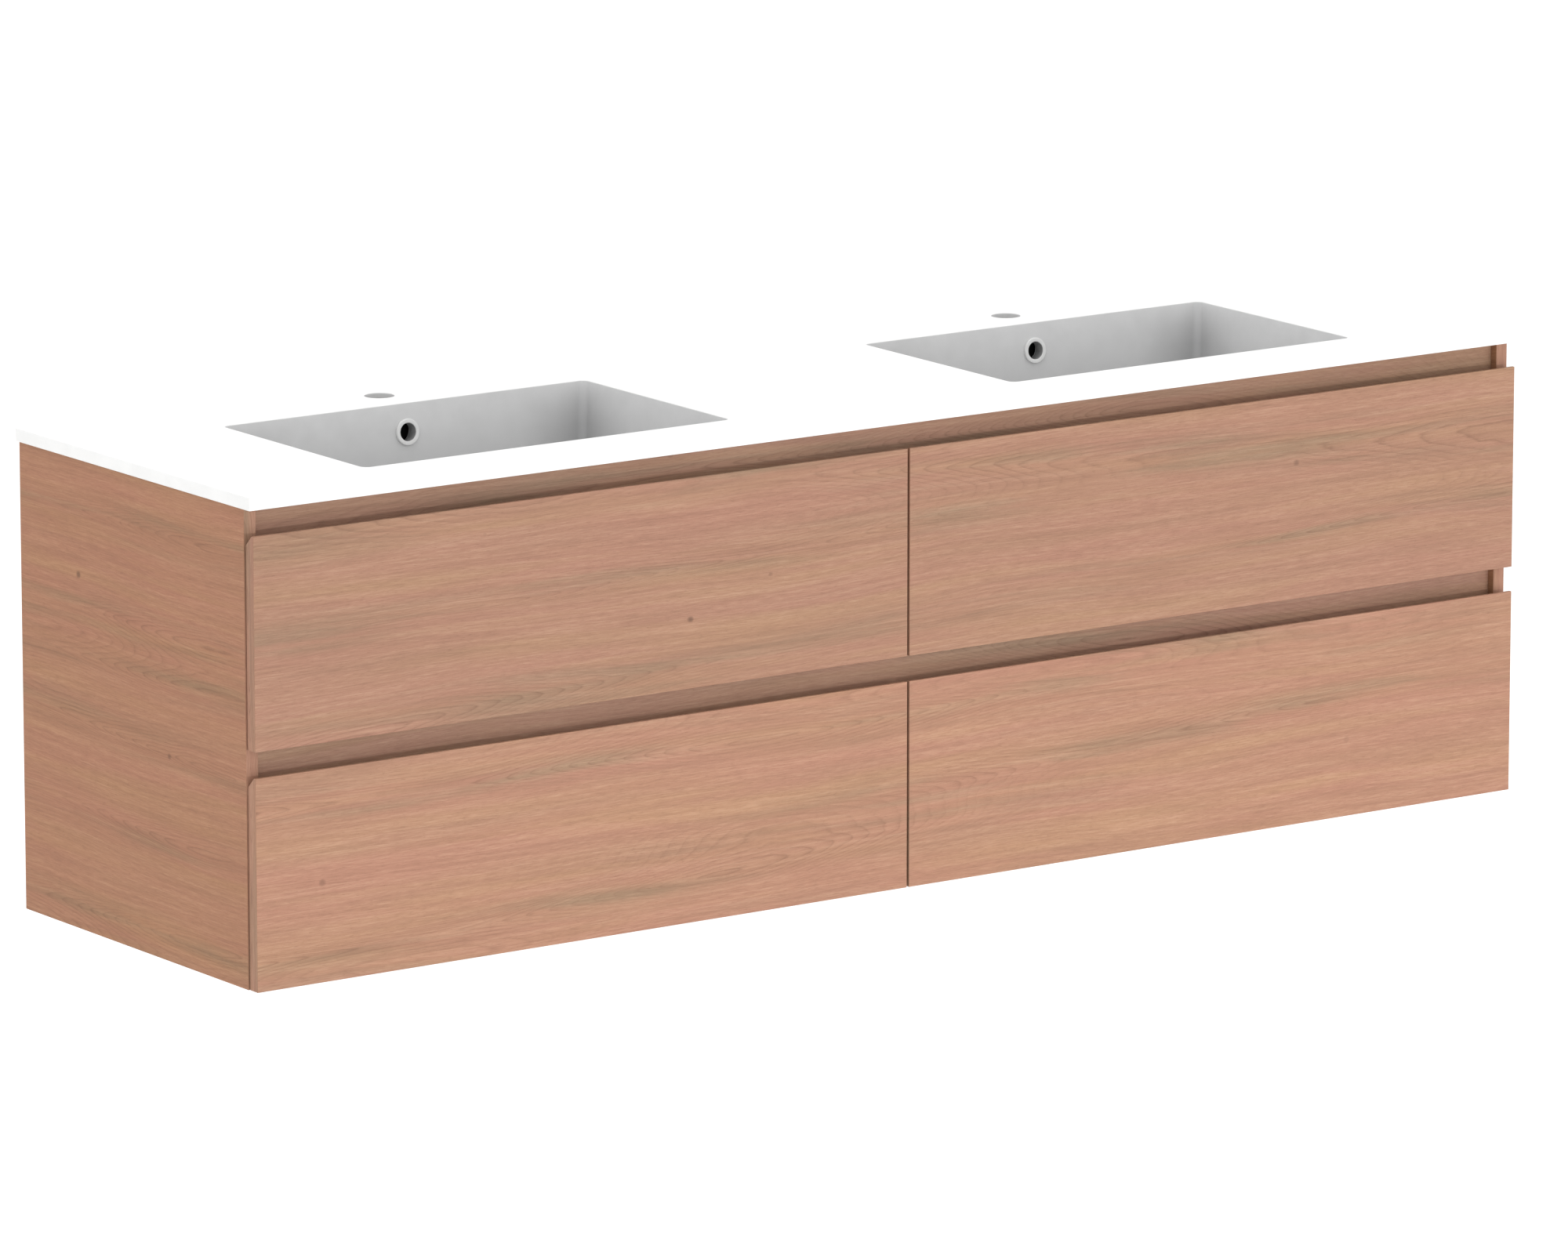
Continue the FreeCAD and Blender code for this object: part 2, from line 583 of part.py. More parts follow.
for name, side in SIDES.items():
    save("side_panel_" + name, side_panel(side))
    save("bowl_" + name, moved(bowl(), side))
    save("overflow_ring_" + name, moved(overflow_ring(), side))
    save("waste_" + name, moved(waste(), side))
    save("plug_" + name, moved(plug(), side))
    save("upper_" + name + "_plumbing_surround", plumbing_surround(side))
    for row in ROWS:
        drawer = row + "_" + name + "_"
        save(drawer + "front", drawer_front(side, row))
        save(drawer + "bottom", bottom_panel(side, row))
        save(drawer + "back", box_back(side, row))
        save(drawer + "side_inner", box_side(side, row, "inner"))
        save(drawer + "side_outer", box_side(side, row, "outer"))
        save(drawer + "fixings", box_fixings(side, row))
        save(drawer + "runner_cabinet", cabinet_members(side, row))
        save(drawer + "runner_middle", middle_members(side, row))
        save(drawer + "runner_drawer", drawer_members(side, row))
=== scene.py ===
# %% [markdown]
# # A wall-hung bathroom vanity
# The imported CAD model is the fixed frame: it says where every board, bowl and runner is, and how the
# drawers move. This script models what is seen around that frame, gives every surface its finish, and
# sets up a small studio. Work is in metres. +X is to the right, -Y is towards the room and +Z is up;
# the origin is on the wall.

import json
import math

import bmesh
import bpy
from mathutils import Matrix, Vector

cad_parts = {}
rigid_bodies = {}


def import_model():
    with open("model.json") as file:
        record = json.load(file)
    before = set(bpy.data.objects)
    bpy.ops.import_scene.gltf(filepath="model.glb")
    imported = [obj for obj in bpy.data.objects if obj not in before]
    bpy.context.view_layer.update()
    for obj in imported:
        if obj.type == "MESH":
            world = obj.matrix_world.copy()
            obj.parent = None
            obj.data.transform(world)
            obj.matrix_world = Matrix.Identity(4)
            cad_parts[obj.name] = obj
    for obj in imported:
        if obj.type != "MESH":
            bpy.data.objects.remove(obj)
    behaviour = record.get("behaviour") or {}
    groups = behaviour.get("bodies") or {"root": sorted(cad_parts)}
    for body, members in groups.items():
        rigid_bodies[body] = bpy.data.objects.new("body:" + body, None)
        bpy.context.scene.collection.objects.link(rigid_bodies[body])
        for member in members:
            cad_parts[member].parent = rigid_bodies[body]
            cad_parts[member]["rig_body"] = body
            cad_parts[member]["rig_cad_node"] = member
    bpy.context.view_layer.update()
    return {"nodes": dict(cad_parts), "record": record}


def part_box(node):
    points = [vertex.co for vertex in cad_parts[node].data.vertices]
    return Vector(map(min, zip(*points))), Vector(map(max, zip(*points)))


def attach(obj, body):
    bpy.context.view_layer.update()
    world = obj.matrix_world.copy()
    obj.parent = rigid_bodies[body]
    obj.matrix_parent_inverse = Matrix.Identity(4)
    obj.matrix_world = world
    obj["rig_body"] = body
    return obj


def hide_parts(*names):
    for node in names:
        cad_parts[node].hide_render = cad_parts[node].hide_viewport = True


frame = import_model()
MM = 0.001
SIDES = {"left": -1, "right": 1}
ROWS = ("upper", "lower")
BOWL_X = 0.45  # from the cabinet's middle to the middle of each bowl

# %% [markdown]
# ## The camera
# A long lens from far away keeps the edges of furniture nearly parallel, which is how such a cabinet is
# usually shown. The camera could be placed by hand, but a point to aim at, two angles and a distance
# say the same thing in words: it stands to the left of the front and a little above. An empty target
# would do it with a constraint; a quaternion made from the direction of view needs no extra object.

# %% Camera
AIM = Vector((-0.00680, -0.25561, -0.01657))
AZIMUTH, ELEVATION, DISTANCE = math.radians(35.014), math.radians(11.973), 12.833
LENS, SENSOR = 250.76, 36.0

level = math.cos(ELEVATION)
away = Vector((-math.sin(AZIMUTH) * level, -math.cos(AZIMUTH) * level, math.sin(ELEVATION)))
lens = bpy.data.cameras.new("camera")
lens.lens, lens.sensor_width, lens.clip_end = LENS, SENSOR, 100
camera = bpy.data.objects.new("camera", lens)
bpy.context.scene.collection.objects.link(camera)
camera.location = AIM + away * DISTANCE
camera.rotation_euler = (-away).to_track_quat("-Z", "Y").to_euler()
bpy.context.scene.camera = camera
print("camera at", [round(c, 4) for c in camera.location])

# %% [markdown]
# ## Selecting and finishing
# Operators act on whatever is selected, so each step first selects nothing and then picks faces or
# edges by where they are or which way they face. A finished piece keeps its place in its mesh, with the
# object itself at the origin.

# %% Selecting
def clear():
    """Leave edit mode and select nothing."""
    if bpy.context.mode != "OBJECT":
        bpy.ops.object.mode_set(mode="OBJECT")
    bpy.ops.object.select_all(action="DESELECT")


def work_on(piece, mode="OBJECT"):
    """Make a piece the only one selected, in object or edit mode."""
    clear()
    bpy.context.view_layer.objects.active = piece
    piece.select_set(True)
    bpy.ops.object.mode_set(mode=mode)
    return piece


def pick(piece, kind, test):
    """Select in edit mode the faces or edges that pass a test, and return how many did."""
    if bpy.context.mode == "OBJECT":
        work_on(piece, "EDIT")
    bpy.ops.mesh.select_mode(type=kind)
    bpy.ops.mesh.select_all(action="DESELECT")
    mesh = bmesh.from_edit_mesh(piece.data)
    mesh.normal_update()
    found = [part for part in (mesh.faces if kind == "FACE" else mesh.edges) if test(part)]
    for part in found:
        part.select_set(True)
    mesh.select_flush_mode()
    bmesh.update_edit_mesh(piece.data)
    return len(found)


def facing(x, y, z):
    """A test for faces that look in one direction."""
    return lambda face: face.normal.dot(Vector((x, y, z))) > 0.9


def middle(edge):
    return (edge.verts[0].co + edge.verts[1].co) / 2


def upright(edge):
    """Is an edge nearly vertical?"""
    run = (edge.verts[1].co - edge.verts[0].co).normalized()
    return abs(run.z) > 0.9


def level_at(z):
    """A test for edges that lie at one height."""
    return lambda edge: all(abs(vert.co.z - z) < 0.05 * MM for vert in edge.verts)


def named(name):
    """Name the new object and put its place into its mesh."""
    piece = bpy.context.object
    piece.name = piece.data.name = name
    bpy.ops.object.transform_apply(location=True, rotation=True, scale=True)
    return piece


def block(name, low, high):
    """A box between two corners."""
    clear()
    low, high = Vector(low), Vector(high)
    bpy.ops.mesh.primitive_cube_add(size=1, location=(low + high) / 2, scale=high - low)
    return named(name)


def rod(name, radius, start, end, steps=48):
    """A round bar from one point to another."""
    clear()
    start, end = Vector(start), Vector(end)
    turn = (end - start).to_track_quat("Z", "Y").to_euler()
    bpy.ops.mesh.primitive_cylinder_add(
        vertices=steps, radius=radius, depth=(end - start).length, location=(start + end) / 2, rotation=turn
    )
    return named(name)


def modify(piece, kind, **settings):
    """Add a modifier with these settings and apply it."""
    work_on(piece)
    modifier = piece.modifiers.new(kind, kind)
    for key, value in settings.items():
        setattr(modifier, key, value)
    bpy.ops.object.modifier_apply(modifier=modifier.name)
    return piece


def combine(piece, tools, operation):
    """Join other solids to a piece or cut them out of it; the others are used up."""
    for tool in tools:
        modify(piece, "BOOLEAN", object=tool, operation=operation, solver="EXACT")
        bpy.data.meshes.remove(tool.data)
    return piece


def ease(piece, width, segments=2, angle=30):
    """Take the sharpness off every edge that turns more than an angle."""
    return modify(
        piece, "BEVEL", width=width, segments=segments, limit_method="ANGLE", angle_limit=math.radians(angle),
        use_clamp_overlap=True, miter_outer="MITER_ARC",
    )


def shade(piece, angle=35):
    """Smooth the rounded faces and keep the flat ones flat."""
    work_on(piece)
    bpy.ops.object.shade_smooth_by_angle(angle=math.radians(angle))
    return modify(piece, "WEIGHTED_NORMAL", keep_sharp=True, weight=80)


print("helpers ready")

# %% [markdown]
# ## Floor and light
# The cabinet hangs with its worktop at the usual 850 mm, so the floor lies 570 mm below the wall
# fixings. A white sky gives soft light from all round. A long, low lamp in front of the cabinet lifts
# the fronts above the side panel and shines into the finger gaps, and weaker lamps even out the floor's
# reflection, the side panel and the worktop. A lamp just under the cabinet shines down: it makes up for
# the sky that the cabinet hides, so that no shadow is left on the floor.

# %% Stage
FLOOR_Z = -0.570


def lamp(name, place, aim, width, height, power):
    """A rectangular area lamp that looks at a point."""
    light = bpy.data.lights.new(name, "AREA")
    light.shape, light.size, light.size_y, light.energy = "RECTANGLE", width, height, power
    body = bpy.data.objects.new(name, light)
    bpy.context.scene.collection.objects.link(body)
    body.location = place
    body.rotation_euler = (Vector(aim) - Vector(place)).to_track_quat("-Z", "Y").to_euler()
    body.visible_camera = False
    return body


clear()
bpy.ops.mesh.primitive_plane_add(size=80, location=(0, 0, FLOOR_Z))
floor = named("floor")

lamp("front_low", (1.6, -6.0, 0.02), (0, -0.4, 0.02), 4.0, 0.25, 78)
lamp("floor_fill", (0.2, -2.0, -0.50), (0.0, -0.5, -0.20), 3.6, 0.3, 3)
lamp("left_low", (-5.5, -1.8, -0.16), (-0.9, -0.3, -0.05), 2.4, 0.7, 12)
lamp("overhead", (0.3, -0.3, 5.2), (0, -0.26, 0), 2.0, 2.0, 50)
lamp("under", (0, -0.25, -0.290), (0, -0.25, -1.0), 1.8, 0.5, 3.2)

SKY = 1.15
world = bpy.data.worlds.new("sky")
bpy.context.scene.world = world
world.use_nodes = True
world.node_tree.nodes["Background"].inputs["Color"].default_value = (1, 1, 1, 1)
world.node_tree.nodes["Background"].inputs["Strength"].default_value = SKY
bpy.context.scene.view_settings.view_transform = "Standard"
bpy.context.scene.view_settings.look = "None"
print("floor at", FLOOR_Z)

# %% [markdown]
# ## Writing shaders as sums
# A finish is a small calculation on the place of each point. Wrapping a node's socket in a class lets
# that calculation be written as arithmetic: `1 - mask` adds a Math node. Colours go through Mix nodes
# instead, because a Math node would turn a colour grey. Every other kind of node comes from one method.

# %% Shader wires
class Wire:
    """One socket of a material's nodes, with arithmetic that adds Math nodes."""

    def __init__(self, tree, socket=None):
        self.tree, self.socket = tree, socket

    def node(self, kind, settings=None, inputs=None, out=0):
        """Add a node: first its settings, then the values or links of its sockets, by name or number."""
        node = self.tree.nodes.new(kind)
        for key, value in (settings or {}).items():
            if key == "stops":
                ramp = node.color_ramp
                while len(ramp.elements) < len(value):
                    ramp.elements.new(0.5)
                for stop, (place, level) in zip(ramp.elements, value):
                    stop.position = place
                    stop.color = (level, level, level, 1)
            else:
                setattr(node, key, value)
        for key, value in (inputs or {}).items():
            if isinstance(value, Wire):
                self.tree.links.new(value.socket, node.inputs[key])
            else:
                node.inputs[key].default_value = value
        return Wire(self.tree, node.outputs[out])

    def math(self, operation, *others):
        inputs = {place: value for place, value in enumerate((self, *others))}
        return self.node("ShaderNodeMath", {"operation": operation}, inputs)

    def __add__(self, other):
        return self.math("ADD", other)

    def __sub__(self, other):
        return self.math("SUBTRACT", other)

    def __mul__(self, other):
        return self.math("MULTIPLY", other)

    def __rsub__(self, other):
        return (self * -1).math("ADD", other)

    __radd__, __rmul__ = __add__, __mul__

    def ramp(self, *stops):
        """Turn a value into another through stops of (place, value)."""
        return self.node("ShaderNodeValToRGB", {"stops": stops}, {"Fac": self})

    def blend(self, first, second):
        """A colour between two, by this value."""
        return self.node("ShaderNodeMix", {"data_type": "RGBA"}, {0: self, 6: first, 7: second}, 2)

    def along(self, direction):
        """How far this place lies in a direction."""
        return self.node("ShaderNodeVectorMath", {"operation": "DOT_PRODUCT"}, {0: self, 1: direction}, 1)

    def noise(self, scale, detail):
        """Smooth noise at this place."""
        return self.node("ShaderNodeTexNoise", None, {"Vector": self, "Scale": scale, "Detail": detail})

    def cells(self, scale):
        """How far this place is from the nearest of many scattered points."""
        return self.node("ShaderNodeTexVoronoi", None, {"Vector": self, "Scale": scale})

    def bump(self, strength, distance):
        """A surface that rises where this value is high, by up to this distance in metres."""
        return self.node("ShaderNodeBump", None, {"Strength": strength, "Distance": distance, "Height": self})


def finish_named(name, **values):
    """A new material, with constants set on its shader's own sockets, and the place of each of its points."""
    material = bpy.data.materials.new(name)
    material.use_nodes = True
    shader = material.node_tree.nodes["Principled BSDF"]
    for key, value in values.items():
        shader.inputs[key.replace("_", " ")].default_value = value
    return material, Wire(material.node_tree).node("ShaderNodeTexCoord", out="Object")


def connect(material, **wires):
    """Feed wires to the sockets of a material's shader."""
    shader = material.node_tree.nodes["Principled BSDF"]
    for key, wire in wires.items():
        material.node_tree.links.new(wire.socket, shader.inputs[key.replace("_", " ")])
    return material


def rgb(red, green, blue):
    """A colour given as on a screen, 0 to 255, as the linear values that shaders use."""
    linear = [((c / 255 + 0.055) / 1.055) ** 2.4 if c > 10 else c / 3295 for c in (red, green, blue)]
    return (*linear, 1)


def cloud(u, v, length, height, seed, detail=2.0, rough=0.5):
    """Smooth noise whose patches are about this long and this high."""
    spot = u.node("ShaderNodeCombineXYZ", None, {0: u * (1 / length), 1: v * (1 / height), 2: seed})
    inputs = {"Vector": spot, "Scale": 1.0, "Detail": detail, "Roughness": rough}
    return u.node("ShaderNodeTexNoise", None, inputs)


print("shader wires ready")

# %% [markdown]
# ## Walnut laminate
# The boards are covered with a printed walnut decor: long nested arches where the growth rings were cut
# flat, calm stripes between them, rose, ochre and olive zones in the tan, fine pores and a few small
# knots. Real wood could be cut out of a solid ring pattern, but a print is flat, so a height field is
# sliced into contour lines instead. The field drifts slowly along the grain and has a ridge along each
# heart line, and there the contours close into the arches. One function makes the finish for any grain
# direction, so that panels, fronts and edge bands all match. Its tone is painted light and shade for the
# light that each copy gets: the lower fronts are painted lighter, the side panels and partition darker
# and warmer, and the rails and bottom board paler and cooler.

# %% Walnut laminate
TAN, ROSE, OCHRE, OLIVE = (158, 119, 97), (161, 118, 99), (162, 125, 98), (140, 114, 92)
RING_BROWN, PORE_BROWN, KNOT_BROWN, PALE_FIBRE = (112, 80, 64), (103, 72, 57), (85, 61, 50), (194, 158, 132)


def walnut(name, along, across, seed, tone=(1.0, 1.0, 1.0)):
    """Laminate with its grain along one direction and stacked across another; tone is this copy's painted
    light and shade, and lightens, darkens or tints it.
    """
    # Every decor colour gets this copy's painted light and shade.
    def with_painted_light(screen_colour):
        return tuple(part * share for part, share in zip(rgb(*screen_colour), tone)) + (1,)

    material, place = finish_named(name, Roughness=0.5, Specular_IOR_Level=0.18)
    u, v = place.along(along), place.along(across)
    sway = cloud(u, v, 0.50, 0.14, seed, 1.0) - 0.5
    v = v + sway * 0.024
    cells = u.node("ShaderNodeCombineXYZ", None, {0: u * 8.0, 1: v * 9.0, 2: seed})
    speck = u.node("ShaderNodeTexVoronoi", {"voronoi_dimensions": "3D"}, {"Vector": cells, "Scale": 1.0})
    knot = speck.ramp((0.0, 1.0), (0.022, 0.8), (0.045, 0.0))
    swirl = speck.ramp((0.0, 1.0), (0.10, 0.45), (0.30, 0.0))
    drift = cloud(u, v, 0.70, 0.80, seed + 3, 0.0)
    heart = cloud(u, v, 2.00, 0.115, seed + 5, 0.0) - 0.5
    ridge = (heart * heart + 0.0006).math("SQRT")
    jitter = cloud(u, v, 0.05, 0.012, seed + 7, 3.0) - 0.5
    rings = drift * 62.0 + ridge * 80.0 + jitter * 0.9 + swirl * 1.2
    ring = rings.math("FRACT").ramp(
        (0.0, 0.30), (0.08, 0.0), (0.55, 0.12), (0.80, 0.45), (0.92, 1.0), (1.0, 0.30)
    )
    near = ridge.ramp((0.03, 1.0), (0.075, 0.65), (0.13, 0.15))
    strength = cloud(u, v, 0.40, 0.060, seed + 9, 1.0).ramp((0.32, 0.30), (0.58, 1.0))
    zone = cloud(u, v, 0.33, 0.022, seed + 11, 3.0).ramp((0.47, 0.0), (0.70, 1.0))
    rose = cloud(u, v, 0.60, 0.040, seed + 13, 2.0).ramp((0.35, 0.0), (0.65, 1.0))
    ochre = cloud(u, v, 0.50, 0.030, seed + 15, 2.0).ramp((0.48, 0.0), (0.70, 1.0))
    fibre = cloud(u, v, 0.021, 0.0013, seed + 17, 3.0, 0.6)
    streak = cloud(u, v, 0.14, 0.0040, seed + 19, 2.0)
    band = cloud(u, v, 0.50, 0.0150, seed + 21, 2.0)
    pores = cloud(u, v, 0.0090, 0.00050, seed + 23, 1.0).ramp((0.62, 0.0), (0.74, 1.0))
    colour = rose.blend(with_painted_light(TAN), with_painted_light(ROSE))
    colour = (ochre * 0.8).blend(colour, with_painted_light(OCHRE))
    colour = (zone * near * 0.9).blend(colour, with_painted_light(OLIVE))
    colour = (ring * near * strength * 0.46).blend(colour, with_painted_light(RING_BROWN))
    paleness = (fibre - 0.5) * (1.15 - near * 0.5) + (streak - 0.5) * 0.75 + (band - 0.5) * 0.42
    colour = paleness.math("MAXIMUM", 0.0).blend(colour, with_painted_light(PALE_FIBRE))
    colour = (paleness * -1).math("MAXIMUM", 0.0).blend(colour, with_painted_light(RING_BROWN))
    colour = (pores * 0.38).blend(colour, with_painted_light(PORE_BROWN))
    colour = (knot * strength * 0.75).blend(colour, with_painted_light(KNOT_BROWN))
    bump = (fibre - pores * 0.8).bump(0.25, 0.00012)
    rough = 0.47 + fibre * 0.10 + pores * 0.06
    return connect(material, Base_Color=colour, Roughness=rough, Normal=bump)


walnut_x = walnut("walnut_grain_across", (1, 0, 0), (0, 1, 1), 4.0, (0.97, 0.985, 0.985))
# The lower fronts are painted lighter: painted light, as from the bright floor below.
walnut_low_painted_lighter = walnut("walnut_grain_lower_painted_lighter", (1, 0, 0), (0, 1, 1), 12.0, (1.07, 1.07, 1.05))
# The side panels and partition are painted darker and warmer: painted shade on the side turned from the
# light.
walnut_y_painted_shade = walnut("walnut_grain_deep_painted_shade", (0, 1, 0), (1, 0, 1), 27.0, (0.985, 0.90, 0.79))
walnut_z = walnut("walnut_edge_band", (0, 0, 1), (1, 1, 0), 51.0)
# The rails and bottom board are painted paler and cooler: painted light, tuned to the shade in the finger
# gaps.
walnut_rail_painted_light = walnut("walnut_rail_painted_light", (1, 0, 0), (0, 1, 1), 70.0, (1.03, 1.10, 1.14))
DECOR = {"x": walnut_x, "low": walnut_low_painted_lighter, "y": walnut_y_painted_shade, "z": walnut_z, "rail": walnut_rail_painted_light}
print("walnut finishes:", [finish.name for finish in DECOR.values()])

# %% [markdown]
# ## Worktop, boxes and fittings
# The worktop and bowls are one mineral-filled white casting: silky, and not quite even in gloss. The
# drawer boxes are board with a pale linen print. Runners are rolled steel with zinc, which shows as
# faint spangle and rolling lines. Chrome, screws and moulded black plastic are small, so their wear and
# grain can be simple.

# %% Other finishes
SLAB_FACE, BOWL_HALF, BOWL_BACK = 0.28, 0.25, -0.125  # places of the bowls' rims, as the finish sees them


def white_casting(name, mottle_dark, mottle_pale, painted_depth_shade=None):
    """Mineral-filled casting mottled between two close tones. In a bowl, the third colour is painted shade:
    it darkens the casting with depth and towards the back corners, where less light comes in."""
    material, place = finish_named(name, Specular_IOR_Level=0.35)
    mottle = place.noise(38.0, 4.0)
    grains = place.cells(900.0).ramp((0.10, 1.0), (0.32, 0.0))
    wipes = place.noise(7.0, 3.0)
    colour = mottle.ramp((0.3, 0.0), (0.7, 1.0)).blend(rgb(*mottle_dark), rgb(*mottle_pale))
    # Painted shade inside the bowls: darker with depth.
    if painted_depth_shade:
        depth = (SLAB_FACE - place.along((0, 0, 1))) * 10.0
        colour = depth.ramp((0.0, 0.0), (1.0, 1.0)).blend(colour, rgb(*painted_depth_shade))
        across, back = place.along((1, 0, 0)), place.along((0, 1, 0))
        aside = BOWL_HALF - (across.math("ABSOLUTE") - BOWL_X).math("ABSOLUTE")
        # This mask paints shade into the back corners, more of it deeper down.
        painted_crease_shade = (aside + (BOWL_BACK - back)).ramp((0.01, 1.0), (0.10, 0.0))
        colour = (painted_crease_shade * depth.ramp((0.0, 0.0), (0.5, 1.0)) * 0.45).blend(colour, rgb(128, 128, 129))
    colour = (grains * 0.10).blend(colour, rgb(200, 199, 196))
    skin = place.noise(420.0, 2.0)
    bump = skin.bump(0.08, 0.00006)
    return connect(material, Base_Color=colour, Roughness=0.26 + wipes * 0.12, Normal=bump)


def dark_duct():
    # The duct belongs to the white casting; its near-black inside is painted shade for the deep channel
    # behind the overflow.
    material, place = finish_named("duct_painted_shade", Specular_IOR_Level=0.2)
    grit = place.noise(600.0, 3.0)
    colour = grit.blend(rgb(24, 24, 25), rgb(44, 44, 44))
    return connect(material, Base_Color=colour, Roughness=0.7 + grit * 0.2)


def bore_painted_shade():
    """The inside of the overflow rings, painted grey: painted shade for the shadow deep in the bore."""
    material, place = finish_named("bore_painted_shade", Specular_IOR_Level=0.3)
    film = place.noise(300.0, 3.0)
    colour = film.blend(rgb(140, 140, 140), rgb(160, 160, 160))
    return connect(material, Base_Color=colour, Roughness=0.5 + film * 0.2)


def linen_board():
    material, place = finish_named("linen_board", Specular_IOR_Level=0.3)
    threads = []
    for direction, seed in (((1, 0, 0.6), 0.0), ((0, 1, 0.8), 3.0), ((0.2, 0.2, 1), 6.0)):
        run = place.along(direction)
        drift = place.noise(30.0 + seed, 2.0)
        threads.append((run * 4200.0 + drift * 7.0 + seed).math("SINE"))
    weave = (threads[0] + threads[1] + threads[2]) * 0.16 + 0.5
    cloudy = place.noise(9.0, 3.0)
    colour = weave.blend(rgb(196, 194, 188), rgb(222, 220, 214))
    colour = (cloudy * 0.25).blend(colour, rgb(203, 198, 188))
    bump = weave.bump(0.15, 0.00008)
    return connect(material, Base_Color=colour, Roughness=0.50 + weave * 0.12, Normal=bump)


def rolled_steel():
    material, place = finish_named("rolled_steel", Metallic=1.0)
    u, v = place.along((0, 1, 0)), place.along((0.7, 0, 1))
    lines = cloud(u, v, 0.12, 0.0009, 2.0, 3.0)
    spots = {"Vector": place, "Scale": 160.0, "Smoothness": 0.3}
    spangle = place.node("ShaderNodeTexVoronoi", {"feature": "SMOOTH_F1"}, spots)
    oil = place.noise(22.0, 3.0)
    colour = (lines * 0.6 + spangle * 0.5).blend(rgb(172, 175, 178), rgb(205, 207, 208))
    bump = lines.bump(0.12, 0.00006)
    return connect(material, Base_Color=colour, Roughness=0.24 + lines * 0.16 + oil * 0.10, Normal=bump)


def zinc_screw():
    material, place = finish_named("zinc_screw", Metallic=1.0)
    tone = place.noise(700.0, 3.0)
    colour = tone.blend(rgb(178, 178, 170), rgb(208, 205, 190))
    return connect(material, Base_Color=colour, Roughness=0.25 + tone * 0.2)


def chrome_plate():
    material, place = finish_named("chrome_plate", Metallic=1.0)
    marks = place.noise(90.0, 4.0)
    film = place.noise(14.0, 3.0)
    colour = film.blend(rgb(226, 228, 231), rgb(240, 241, 242))
    bump = marks.bump(0.02, 0.00005)
    return connect(material, Base_Color=colour, Roughness=0.05 + marks * 0.10, Normal=bump)


def black_moulding():
    material, place = finish_named("black_moulding", Specular_IOR_Level=0.45)
    grain = place.cells(1400.0)
    scuff = place.noise(60.0, 4.0)
    colour = scuff.blend(rgb(36, 36, 37), rgb(56, 56, 57))
    bump = grain.bump(0.3, 0.00008)
    return connect(material, Base_Color=colour, Roughness=0.42 + scuff * 0.2, Normal=bump)


def white_moulding():
    material, place = finish_named("white_moulding", Specular_IOR_Level=0.5)
    cloudy = place.noise(120.0, 3.0)
    colour = cloudy.blend(rgb(212, 212, 211), rgb(222, 222, 221))
    bump = cloudy.bump(0.1, 0.00005)
    return connect(material, Base_Color=colour, Roughness=0.30 + cloudy * 0.12, Normal=bump)


def pale_floor():
    material, place = finish_named("pale_floor", Specular_IOR_Level=0.2)
    haze = place.noise(1.3, 3.0)
    colour = haze.blend(rgb(250, 250, 250), rgb(252, 252, 252))
    return connect(material, Base_Color=colour, Roughness=0.8 + haze * 0.1)


FINISHES = {
    "solid_surface": white_casting("white_slab", (225, 225, 224), (230, 230, 229)),
    "drawer_board": linen_board(),
    "runner_steel": rolled_steel(),
    "screw_steel": zinc_screw(),
    "chrome": chrome_plate(),
    "black_plastic": black_moulding(),
    "white_plastic": white_moulding(),
}
# The bowls get a greyer copy of the casting: its grey is painted shade, deepening towards the floor and the
# back corners.
bowl_casting_painted_shade = white_casting("white_bowl_painted_shade", (206, 206, 206), (212, 212, 212), (185, 185, 185))
duct_painted_shade = dark_duct()
shaded_bore = bore_painted_shade()
floor.data.materials.append(pale_floor())
print("finishes:", sorted(FINISHES))


def deliver(piece, body, slot, nodes):
    """Give a finished piece its body and, if it has no finish yet, the finish of its material slot; hide the
    CAD nodes it stands for.
    """
    clear()
    if not piece.data.materials:
        piece.data.materials.append(FINISHES[slot])
    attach(piece, body)
    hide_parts(*nodes)
    print(piece.name, "faces:", len(piece.data.polygons), "on", body)
    return piece


# Anything not replaced below still gets the finish that its record names.
SUBPARTS = {part["node"]: part["material_slot"] for part in frame["record"]["subparts"]}
for node, slot in SUBPARTS.items():
    mesh = frame["nodes"][node].data
    mesh.materials.clear()
    mesh.materials.append(FINISHES.get(slot, walnut_x))
print("CAD nodes with a finish:", len(SUBPARTS))

# %% [markdown]
# ## Carcass boards
# Two side panels, a bottom, a partition, two front rails and two back rails, all of 16 mm board. Each
# is a cube drawn out to the board's size; a bevel modifier then takes a fine arris off every edge, as
# edge banding is trimmed on a real board. A band is glued on with its own grain, so the faces it covers
# get another finish before the bevel.

# %% Carcass boards
ARRIS = 0.7 * MM


def board(name, node, grain, band=None, band_faces=()):
    """A laminated board the size of its CAD node. Faces that look along band_faces get the band's grain."""
    piece = block(name, *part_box(node))
    piece.data.materials.append(DECOR[grain])
    if band:
        piece.data.materials.append(DECOR[band])
        for direction in band_faces:
            pick(piece, "FACE", facing(*direction))
            piece.active_material_index = 1
            bpy.ops.object.material_slot_assign()
    return piece


def finish_board(piece, body, nodes, slot="walnut_laminate", arris=ARRIS):
    ease(piece, arris)
    return deliver(shade(piece), body, slot, nodes)


